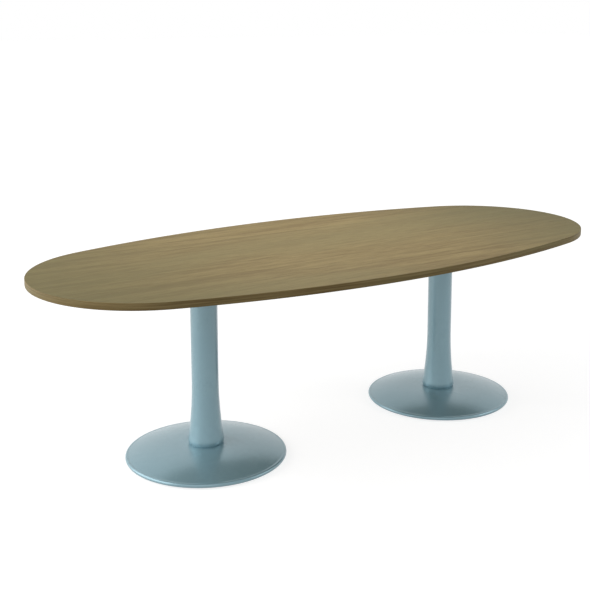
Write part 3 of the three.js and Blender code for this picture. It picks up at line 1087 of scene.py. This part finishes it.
@dataclass
class Clamp(PedestalPart):
    """What holds a pedestal together: tie bar, nut and washer, and the disc that centres the foot."""

    bar: float = 0.008
    bar_foot: float = 0.009
    bar_top: float = 0.7037
    bar_point: float = 0.001  # run over which the bar's end widens to its thread
    bar_sides: int = 32
    thread: float = 0.045  # from each end of the bar
    thread_end: float = 0.002  # run over which a thread passes into the plain bar
    pitch: float = 0.002
    bore: float = 0.0083
    nut_across: float = 0.024
    nut_foot: float = 0.01
    nut_top: float = 0.023
    nut_chamfer: float = 0.002
    nut_mouth: float = 0.0008  # chamfer at both ends of the nut's bore
    nut_sides: int = 48
    chamfer_steps: int = 4
    washer_top: float = 0.026
    washer_edge: float = 0.016
    washer_round: float = 0.0006
    washer_sides: int = 64
    disc: float = 0.058
    disc_foot: float = 0.054
    disc_top: float = 0.06
    disc_bore: float = 0.0085
    disc_foot_round: float = 0.0008
    disc_top_round: float = 0.0015
    disc_bore_round: float = 0.0008
    disc_sides: int = 96

    def tie_bar(self) -> Turning:
        """A round bar that is threaded at both ends and plain between.

        Returns:
            The bar, about its axis.
        """
        lower, upper = self.bar_foot + self.thread, self.bar_top - self.thread
        core = self.bar - THREAD_DEPTH * self.pitch
        turning = Turning(self.bar_sides).round([(0, self.bar_foot), (core, self.bar_foot)])
        turning.thread(self.bar, self.pitch, self.bar_foot + self.bar_point, lower)
        turning.round([(self.bar, lower + self.thread_end), (self.bar, upper - self.thread_end)])
        return turning.thread(self.bar, self.pitch, upper, self.bar_top).round([(0, self.bar_top)])

    def nut(self) -> Turning:
        """A hexagonal nut whose corners are chamfered above and below by a cone of 30 degrees.

        Returns:
            The nut, about its axis.
        """
        depths = np.linspace(0, self.nut_chamfer, self.chamfer_steps + 1)
        cone = HEXAGON_CONE * self.nut_across / 2 + depths * math.sqrt(3)
        up = np.column_stack([cone, self.nut_foot + depths])
        down = np.column_stack([cone, self.nut_top - depths])[::-1]
        mouth = self.bore + self.nut_mouth
        turning = Turning(self.nut_sides)
        turning.round([(self.bore, self.nut_foot + self.nut_mouth), (mouth, self.nut_foot)])
        turning.hexagon(self.nut_across, np.concatenate([up, down]))
        return turning.round([(mouth, self.nut_top), (self.bore, self.nut_top - self.nut_mouth)])

    def washer(self) -> Turning:
        """A plain washer on the nut, with its outer edges rounded.

        Returns:
            The washer, about its axis.
        """
        return Turning(self.washer_sides).round(rounded([
            (self.bore, self.nut_top, 0),
            (self.washer_edge, self.nut_top, self.washer_round),
            (self.washer_edge, self.washer_top, self.washer_round),
            (self.bore, self.washer_top, 0),
        ]))

    def foot_disc(self) -> Turning:
        """The disc inside the column's foot, with rounded edges.

        Returns:
            The disc, about its axis.
        """
        return Turning(self.disc_sides).round(rounded([
            (self.disc_bore, self.disc_foot, 0),
            (self.disc, self.disc_foot, self.disc_foot_round),
            (self.disc, self.disc_top, self.disc_top_round),
            (self.disc_bore, self.disc_top, self.disc_bore_round),
        ]))

    def build(self) -> None:
        """Makes bar, nut, washer and disc about the column's axis."""
        self.fit_turned("tie_bar", "tie_rod", self.tie_bar(), Slot.ZINC)
        self.fit_turned("clamp_nut", "tie_nut", self.nut(), Slot.ZINC)
        self.fit_turned("clamp_washer", "tie_washer", self.washer(), Slot.ZINC)
        self.fit_turned("foot_disc", "centring_disc", self.foot_disc(), Slot.ZINC)


@dataclass
class Spider(PedestalPart):
    """The cast spider that carries the board, with a screw and a threaded bush at the tip of each arm."""

    reach: float = 0.19  # from the axis to each screw
    underside: float = 0.71  # height of the arms' lower face at the screws
    board: float = 0.715  # height of the board's underside
    weld: float = 1e-6  # points of the casting nearer than this are one
    flat: float = math.radians(0.5)  # faces that turn by less become one
    edge: float = 0.0012  # rounding of the casting's edges
    edge_steps: int = 2
    edge_angle: float = math.radians(35)  # an edge that turns by more is rounded
    shank: float = 0.003
    thread_start: float = 0.0005
    pitch: float = 0.001
    head: float = 0.0062
    head_depth: float = 0.0036
    crown: float = 0.0026
    crown_steps: int = 6
    socket: float = 0.004
    socket_depth: float = 0.002
    socket_mouth: float = 0.0002  # chamfer at the mouth of the screw's socket
    screw_top: float = 0.724
    screw_sides: int = 24
    bush: float = 0.005
    bush_bore: float = 0.0033
    bush_top: float = 0.728
    bush_round: float = 0.0003
    bush_sides: int = 32
    groove_start: float = 0.001
    groove_depth: float = 0.0005
    groove_step: float = 0.0008
    groove_corners: int = 14

    def casting(self) -> bpy.types.Object:
        """A welded copy of the CAD casting, with its edges rounded.

        Returns:
            The casting.
        """
        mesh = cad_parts[f"{self.side.word}_spider"].data.copy()
        mesh.name = f"{self.side.word}_spider_casting"
        work = bmesh.new()
        work.from_mesh(mesh)
        bmesh.ops.remove_doubles(work, verts=work.verts, dist=self.weld)
        bmesh.ops.dissolve_limit(work, angle_limit=self.flat, verts=work.verts, edges=work.edges)
        work.to_mesh(mesh)
        work.free()
        piece = placed(mesh.name, smoothed(mesh))
        soften = piece.modifiers.new("rounded_edges", "BEVEL")
        soften.width = self.edge
        soften.segments = self.edge_steps
        soften.limit_method = "ANGLE"
        soften.angle_limit = self.edge_angle
        soften.harden_normals = True
        return piece

    def screw(self) -> Turning:
        """A button-headed screw, head down, with a hexagonal socket and a thread.

        The head's crown is an arc; its lower face is flat out to the crown and sunk in a hexagon inside.

        Returns:
            The screw, about its axis.
        """
        foot = self.underside - self.head_depth
        depth = foot + self.socket_depth
        centre = (self.head - self.crown, foot + self.crown)
        turning = Turning(self.screw_sides).round([(0, depth)])
        turning.hexagon(self.socket, [(math.inf, depth), (math.inf, foot + self.socket_mouth)])
        turning.round(arc(centre, self.crown, -90, 0, self.crown_steps))
        turning.round([(self.head, self.underside), (self.shank, self.underside)])
        turning.thread(self.shank, self.pitch, self.underside + self.thread_start, self.screw_top)
        return turning.round([(0, self.screw_top)])

    def threaded_bush(self) -> Turning:
        """A brass bush, grooved outside to grip the board.

        Returns:
            The bush, about its axis.
        """
        step = np.arange(self.groove_corners)
        grooves = np.column_stack([
            self.bush - self.groove_depth * (step % 2),
            self.board + self.groove_start + self.groove_step * step,
            np.zeros(self.groove_corners),
        ])
        foot = [(self.bush_bore, self.board, self.bush_round), (self.bush, self.board, self.bush_round)]
        head = [(self.bush, self.bush_top, self.bush_round), (self.bush_bore, self.bush_top, self.bush_round)]
        return Turning(self.bush_sides).round(rounded(np.concatenate([foot, grooves, head]), steps=2))

    def build(self) -> None:
        """Makes the casting, the screws and the bushes."""
        self.fit(self.casting(), f"{self.side.word}_spider", Slot.ALLOY)
        for number, place in enumerate(Pedestal.corners(self.reach), 1):
            self.fit_turned(f"screw_{number}", f"board_screw_{number}", self.screw(), Slot.ZINC, place)
            bush = self.threaded_bush()
            self.fit_turned(f"bush_{number}", f"board_insert_{number}", bush, Slot.BRASS, place)


@dataclass
class Glide(PedestalPart):
    """A levelling glide: a nylon foot on the ball end of a threaded stud with a hexagon for the spanner."""

    number: int = 1
    circle: float = 0.24  # radius of the circle on which the glides stand
    foot: float = 0.018
    foot_side: float = 0.0036  # height of the foot's upright side
    foot_height: float = 0.005
    foot_round: float = 0.0014
    foot_sides: int = 64
    collar: float = 0.003  # width of the wall round the socket
    collar_round: float = 0.0008
    socket: float = 0.0063
    socket_round: float = 0.0004
    floor: float = 0.002  # nylon under the stud
    pivot: float = 0.006
    pivot_foot: float = 0.0023
    pivot_chamfer: float = 0.0006
    hexagon: float = 0.017
    hexagon_foot: float = 0.0053
    hexagon_top: float = 0.0077
    hexagon_chamfer: float = 0.0007
    thread: float = 0.005
    thread_start: float = 0.0005
    pitch: float = 0.0015
    stud_top: float = 0.028
    stud_sides: int = 24

    def pad(self) -> Turning:
        """The nylon foot, with rounded edges and a socket for the stud.

        Returns:
            The foot, about its axis.
        """
        return Turning(self.foot_sides).round(rounded([
            (0, 0, 0),
            (self.foot, 0, self.foot_round),
            (self.foot, self.foot_side, self.foot_round),
            (self.socket + self.collar, self.foot_height, self.collar_round),
            (self.socket, self.foot_height, self.socket_round),
            (self.socket, self.floor, 0),
            (0, self.floor, 0),
        ]))

    def stud(self) -> Turning:
        """The stud: a chamfered pivot, a chamfered hexagon and a thread.

        Returns:
            The stud, about its axis.
        """
        corner = self.hexagon / math.sqrt(3)
        cone = HEXAGON_CONE * self.hexagon / 2
        turning = Turning(self.stud_sides)
        turning.round([(0, self.pivot_foot), (self.pivot - self.pivot_chamfer, self.pivot_foot)])
        turning.round([(self.pivot, self.pivot_foot + self.pivot_chamfer), (self.pivot, self.hexagon_foot)])
        turning.hexagon(self.hexagon, [
            (cone, self.hexagon_foot),
            (corner, self.hexagon_foot + self.hexagon_chamfer),
            (corner, self.hexagon_top - self.hexagon_chamfer),
            (cone, self.hexagon_top),
        ])
        turning.round([(self.thread, self.hexagon_top)])
        turning.thread(self.thread, self.pitch, self.hexagon_top + self.thread_start, self.stud_top)
        return turning.round([(0, self.stud_top)])

    def build(self) -> None:
        """Makes foot and stud on the glide's own body."""
        place = Pedestal.corners(self.circle)[self.number - 1]
        body = f"{self.side.word}_glide_{self.number}"
        for part, turning, slot in ("foot", self.pad(), Slot.NYLON), ("stud", self.stud(), Slot.ZINC):
            name = f"{part}_{self.number}"
            self.fit_turned(name, f"glide_{name}", turning, slot, place, body)


@dataclass
class Pedestal:
    """One pedestal, from the spider under the board to its glides."""

    axis: ClassVar[float] = 0.563
    arms: ClassVar[int] = 4
    side: Side = Side.LEFT

    @classmethod
    def corners(cls, radius: float) -> list[tuple[float, float]]:
        """A place for each arm or glide at this radius, the first at 45 degrees to the table's length."""
        places = arc((0, 0), radius, 45, 45 + 360, cls.arms)[:-1]
        return [tuple(place) for place in places.tolist()]

    def assemblies(self) -> Iterator[Assembly]:
        """The pedestal's sub-assemblies, from the board down.

        Yields:
            Each of them.
        """
        for kind in (Spider, Column, BaseCover, Ballast, Clamp):
            yield kind(self.side)
        for number in range(1, self.arms + 1):
            yield Glide(self.side, number)


@dataclass(frozen=True)
class Softbox:
    """A soft rectangular lamp that faces a point of the table."""

    name: str
    place: tuple[float, float, float]
    size: tuple[float, float]
    watts: float
    target: tuple[float, float, float] = (0, 0, 0.5)

    def light(self) -> None:
        """Hangs the lamp."""
        lamp = bpy.data.lights.new(self.name, "AREA")
        lamp.shape = "RECTANGLE"
        lamp.size, lamp.size_y = self.size
        lamp.energy = self.watts
        hung = placed(self.name, lamp)
        hung.location = self.place
        aim = Vector(self.target) - Vector(self.place)
        hung.rotation_euler = aim.to_track_quat("-Z", "Y").to_euler()


@dataclass(frozen=True)
class Studio:
    """The white studio round the table, and the camera at the photograph's viewpoint."""

    ambient: float = 0.35  # strength of the surround's light
    floor_matt: float = 0.4  # share of the light that the floor throws back
    floor_glow: tuple[float, float] = (0.79, 0.92)  # strength near the table and far from it
    glow_run: tuple[float, float] = (1.5, 5.0)  # from the table's middle, where the glow grows
    floor_reach: float = 60.0  # half the width of the floor
    softboxes: tuple[Softbox, ...] = (
        Softbox("left_softbox", (-3.8, 1.4, 1.9), (5.5, 4.0), 185),
        Softbox("right_softbox", (3.0, -2.6, 1.7), (2.2, 1.4), 34),
        Softbox("front_softbox", (-2.2, -2.8, 1.6), (2.2, 1.6), 10),
        Softbox("top_softbox", (0.25, 0.3, 2.0), (0.9, 0.6), 7.5),
    )
    sensor: float = 36.0
    lens: float = 64.459
    shift: tuple[float, float] = (-0.0332, -0.1592)
    eye: tuple[float, float, float] = (-2.29, -3.3388, 1.6287)
    yaw: float = 0.5854
    pitch: float = 0.1751

    @staticmethod
    def seen(graph: Graph) -> Value:
        """A mask of the rays that see the background: camera, mirror and glass rays.

        Args:
            graph: the graph that the mask is for.

        Returns:
            The mask.
        """
        masks = [
            graph.node("ShaderNodeLightPath", output=name)
            for name in ("Is Camera Ray", "Is Glossy Ray", "Is Transmission Ray")
        ]
        return masks[0].or_else(masks[1]).or_else(masks[2])

    def lay_floor(self) -> None:
        """Lays a matt floor that runs out of sight.

        Its glow shows it white, and grows from near to far over the glow's run about the table's middle. The
        table's shadow stays in sight on it.
        """
        reach = self.floor_reach
        mesh = bpy.data.meshes.new("studio_floor")
        corners = [(-reach, -reach, 0), (reach, -reach, 0), (reach, reach, 0), (-reach, reach, 0)]
        mesh.from_pydata(corners, [], [(0, 1, 2, 3)])
        floor = placed("studio_floor", mesh)
        material = bpy.data.materials.new("studio_white")
        graph = Graph(material)
        matt = graph.node("ShaderNodeBsdfDiffuse", None, {"Color": (*[self.floor_matt] * 3, 1.0)})
        near, far = self.floor_glow
        away = graph.node("ShaderNodeVectorMath", {"operation": "LENGTH"}, {0: graph.place()}, "Value")
        strength = self.seen(graph) * (away.ramp(*self.glow_run) * (far - near) + near)
        glow = graph.node("ShaderNodeEmission", None, {"Strength": strength})
        both = graph.node("ShaderNodeAddShader", None, {0: matt, 1: glow})
        graph.node("ShaderNodeOutputMaterial", None, {"Surface": both})
        mesh.materials.append(material)

    def light_world(self) -> None:
        """A white surround: full white where it is seen, and the ambient level where it lights."""
        world = bpy.data.worlds.new("studio_surround")
        bpy.context.scene.world = world
        graph = Graph(world)
        strength = self.seen(graph) * (1 - self.ambient) + self.ambient
        light = graph.node("ShaderNodeBackground", None, {"Color": (1, 1, 1, 1), "Strength": strength})
        graph.node("ShaderNodeOutputWorld", None, {"Surface": light})

    def set_camera(self) -> None:
        """The photograph's viewpoint: yaw turns the view from +Y towards +X, pitch lowers it."""
        lens = bpy.data.cameras.new("camera")
        lens.sensor_width = self.sensor
        lens.lens = self.lens
        lens.shift_x, lens.shift_y = self.shift
        camera = placed("camera", lens)
        camera.location = self.eye
        camera.rotation_euler = (math.pi / 2 - self.pitch, 0, -self.yaw)
        bpy.context.scene.camera = camera

    def build(self) -> None:
        """Sets up floor, surround, lamps, camera and colour management."""
        self.lay_floor()
        self.light_world()
        for softbox in self.softboxes:
            softbox.light()
        self.set_camera()
        bpy.context.scene.view_settings.view_transform = "Standard"


def main() -> None:
    """Builds and dresses the table in its studio."""
    logging.basicConfig(level=logging.INFO, format="%(name)s %(message)s")
    Studio().build()
    assemblies: list[Assembly] = [TableTop()]
    for side in Side:
        assemblies += Pedestal(side).assemblies()
    for assembly in assemblies:
        assembly.build()
        assembly.dress()


if __name__ == "__main__":
    main()
